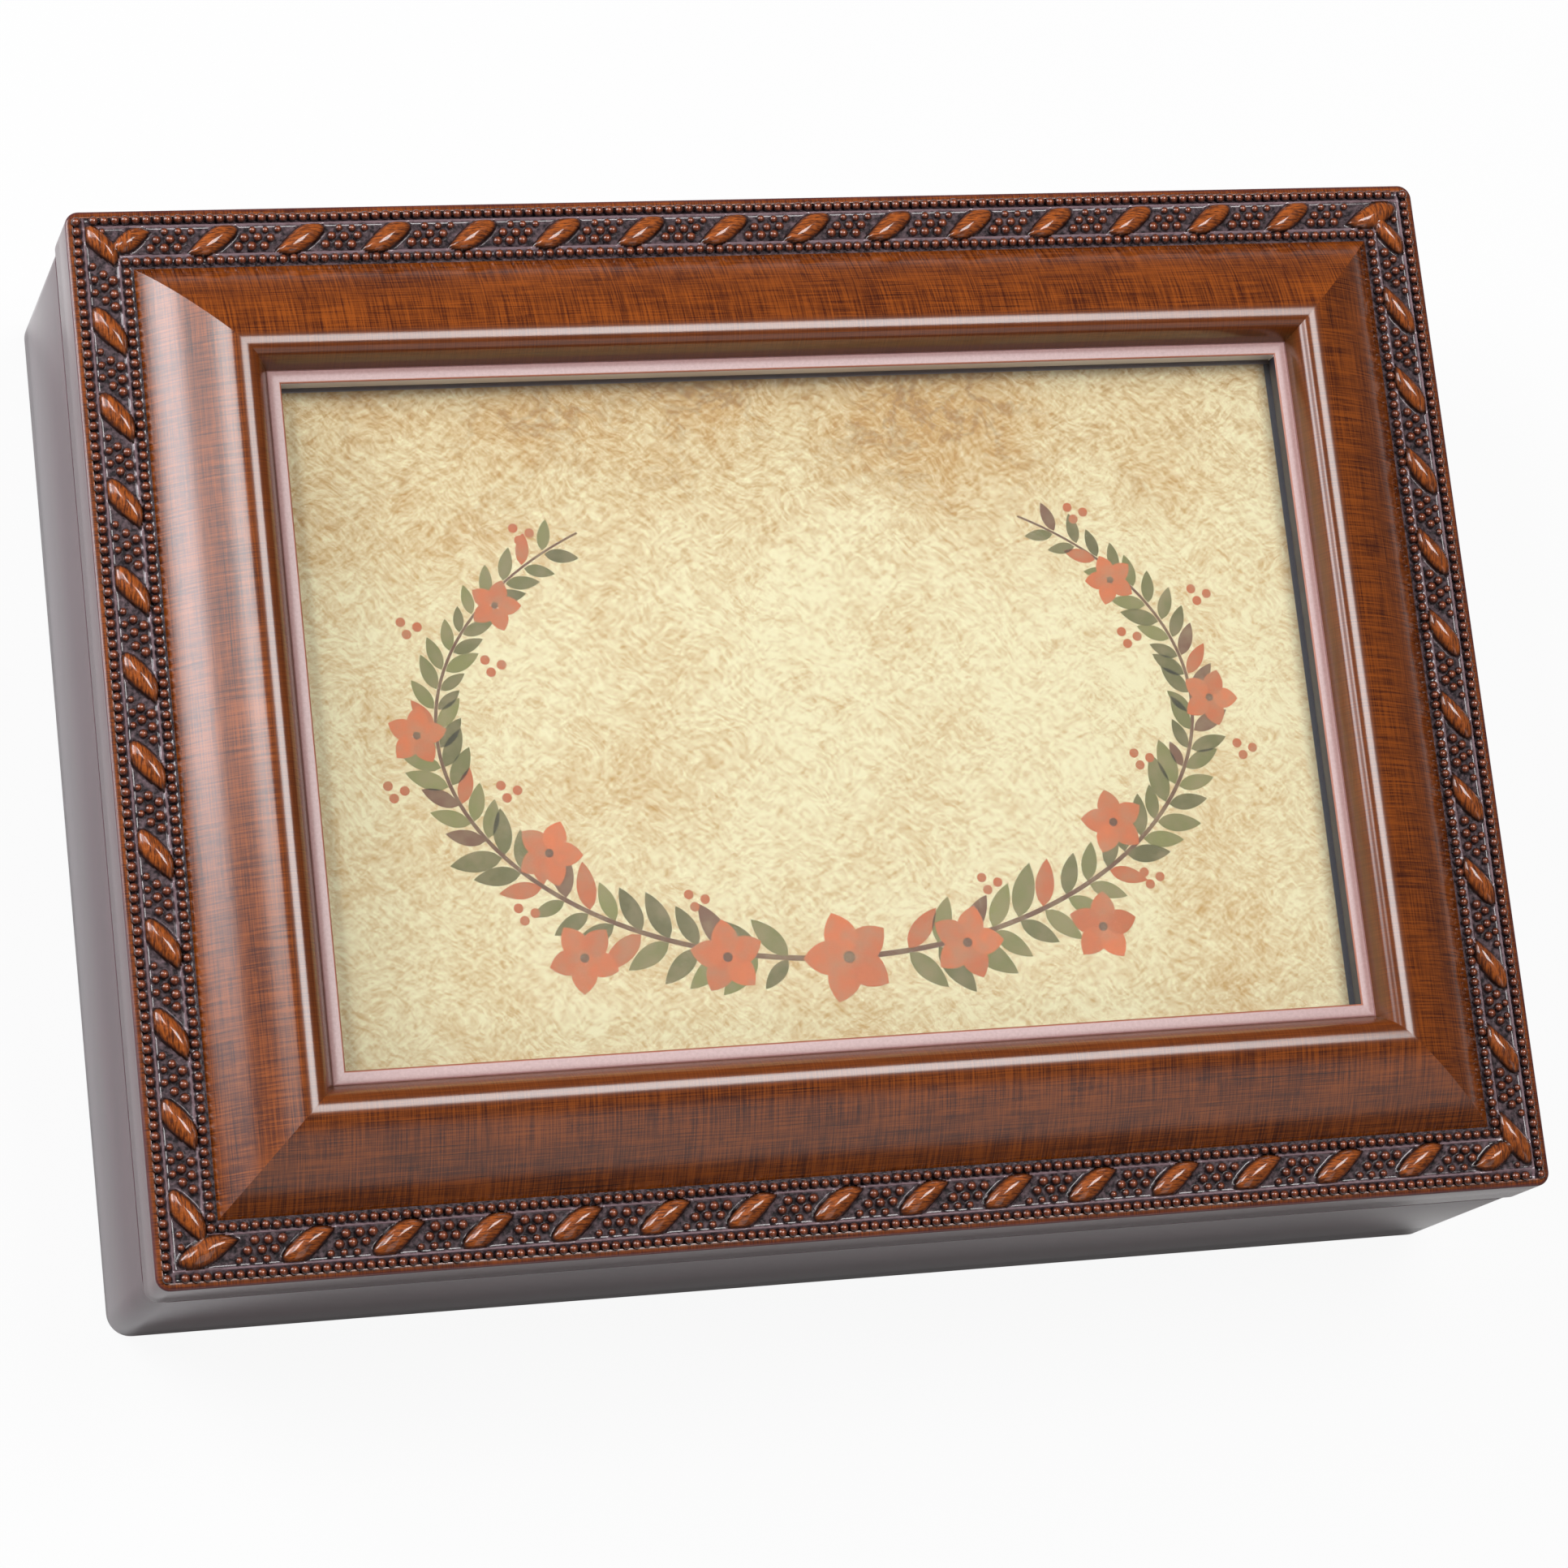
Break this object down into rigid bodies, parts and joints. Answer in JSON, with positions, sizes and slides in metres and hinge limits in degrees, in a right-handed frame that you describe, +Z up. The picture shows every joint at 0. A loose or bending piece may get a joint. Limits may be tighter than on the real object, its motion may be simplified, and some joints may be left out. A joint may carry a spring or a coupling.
{
  "type": "music box",
  "caption": "Wooden keepsake music box: a picture frame lid with carved moulding hinged on a lined tray, and a key-wound comb and cylinder movement under a clear cover.",
  "frame": {"origin": "on the table, under the middle of the closed box's outline, hinge barrels included", "axes": "+X along the long side to the right, +Y to the hinged back, +Z up"},
  "size_m": [0.2032, 0.1556, 0.0578],
  "materials": {
    "moulding": "semi-gloss stained woodgrain, dark in the carved band",
    "box_side": "satin dark stained woodgrain",
    "board": "plain dark board",
    "velvet": "short pile velvet",
    "felt": "pressed felt",
    "pane": "clear pane",
    "clear_cover": "clear gloss plastic",
    "print": null,
    "brass": "polished brass",
    "steel": "bright steel",
    "casting": "satin die casting"
  },
  "bodies": {
    "base": {"base_front_wall": "box_side", "base_right_wall": "box_side", "base_back_wall": "box_side", "base_left_wall": "box_side", "foot_pad_front_left": "felt", "foot_pad_back_left": "felt", "foot_pad_front_right": "felt", "foot_pad_back_right": "felt", "bottom_panel": "board", "divider_side": "velvet", "divider_front": "velvet", "movement_cover": "clear_cover", "lining_front": "velvet", "lining_right": "velvet", "lining_back": "velvet", "lining_left": "velvet", "lining_floor": "velvet", "movement_bedplate": "casting", "movement_screw_1": "steel", "movement_screw_2": "steel", "tuned_comb": "steel", "comb_screw_1": "steel", "comb_screw_2": "steel", "bearing_left": "casting", "bearing_right": "casting", "governor_bracket": "casting", "hinge_left_base_leaf": "brass", "hinge_left_pin": "steel", "hinge_right_base_leaf": "brass", "hinge_right_pin": "steel"},
    "lid": {"lid_rail_front": "moulding", "lid_rail_right": "moulding", "lid_rail_back": "moulding", "lid_rail_left": "moulding", "cover_glass": "pane", "print_card": "print", "backing_board": "velvet", "turn_button_screw_front_left": "brass", "turn_button_screw_front_right": "brass", "turn_button_screw_back_left": "brass", "turn_button_screw_back_right": "brass", "hinge_left_lid_leaf": "brass", "hinge_right_lid_leaf": "brass"},
    "button_front_left": {"turn_button_front_left": "brass"},
    "button_front_right": {"turn_button_front_right": "brass"},
    "button_back_left": {"turn_button_back_left": "brass"},
    "button_back_right": {"turn_button_back_right": "brass"},
    "key": {"winding_key": "brass", "winding_arbor": "steel"},
    "barrel": {"spring_barrel": "brass", "barrel_cap": "brass", "mainspring": "steel"},
    "cylinder": {"pinned_cylinder": "brass", "cylinder_arbor": "steel", "cylinder_wheel": "brass", "cylinder_gear": "brass"},
    "second": {"second_shaft": "brass"},
    "governor": {"governor_fan": "steel"},
    "stop": {"stop_rod": "steel"}
  },
  "joints": [
    {"name": "lid_hinge", "type": "hinge", "parent": "base", "child": "lid", "pos_m": [0, 0.07635, 0.03785], "axis": [-1, 0, 0], "range_deg": [0, 100]},
    {"name": "turn_button_front_left", "type": "hinge", "parent": "lid", "child": "button_front_left", "pos_m": [-0.04, -0.05735, 0.0461], "axis": [0, 0, 1], "range_deg": [-90, 90]},
    {"name": "turn_button_front_right", "type": "hinge", "parent": "lid", "child": "button_front_right", "pos_m": [0.04, -0.05735, 0.0461], "axis": [0, 0, 1], "range_deg": [-90, 90]},
    {"name": "turn_button_back_left", "type": "hinge", "parent": "lid", "child": "button_back_left", "pos_m": [-0.04, 0.05405, 0.0461], "axis": [0, 0, 1], "range_deg": [-90, 90]},
    {"name": "turn_button_back_right", "type": "hinge", "parent": "lid", "child": "button_back_right", "pos_m": [0.04, 0.05405, 0.0461], "axis": [0, 0, 1], "range_deg": [-90, 90]},
    {"name": "key_winding", "type": "hinge", "parent": "base", "child": "key", "pos_m": [-0.0484, 0.03755, 0.0125], "axis": [0, 0, 1], "continuous": true},
    {"name": "cylinder_spin", "type": "hinge", "parent": "base", "child": "cylinder", "pos_m": [-0.069, 0.03755, 0.02834], "axis": [-1, 0, 0], "continuous": true},
    {"name": "barrel_spin", "type": "hinge", "parent": "base", "child": "barrel", "pos_m": [-0.0484, 0.03755, 0.024], "axis": [0, 0, 1], "continuous": true},
    {"name": "second_spin", "type": "hinge", "parent": "base", "child": "second", "pos_m": [-0.084, 0.02915, 0.02834], "axis": [-1, 0, 0], "continuous": true},
    {"name": "governor_spin", "type": "hinge", "parent": "base", "child": "governor", "pos_m": [-0.0839, 0.03445, 0.028], "axis": [0, 0, 1], "continuous": true},
    {"name": "stop_slide", "type": "slide", "parent": "base", "child": "stop", "axis": [0, 0, 1], "range_m": [0, 0.0025]}
  ],
  "couplings": [
    {"joint": "barrel_spin", "follows": "cylinder_spin", "ratio": 0.6},
    {"joint": "second_spin", "follows": "cylinder_spin", "ratio": -4},
    {"joint": "governor_spin", "follows": "cylinder_spin", "ratio": -80},
    {"joint": "stop_slide", "follows": "lid_hinge", "m_per_rad": 0.00143}
  ]
}
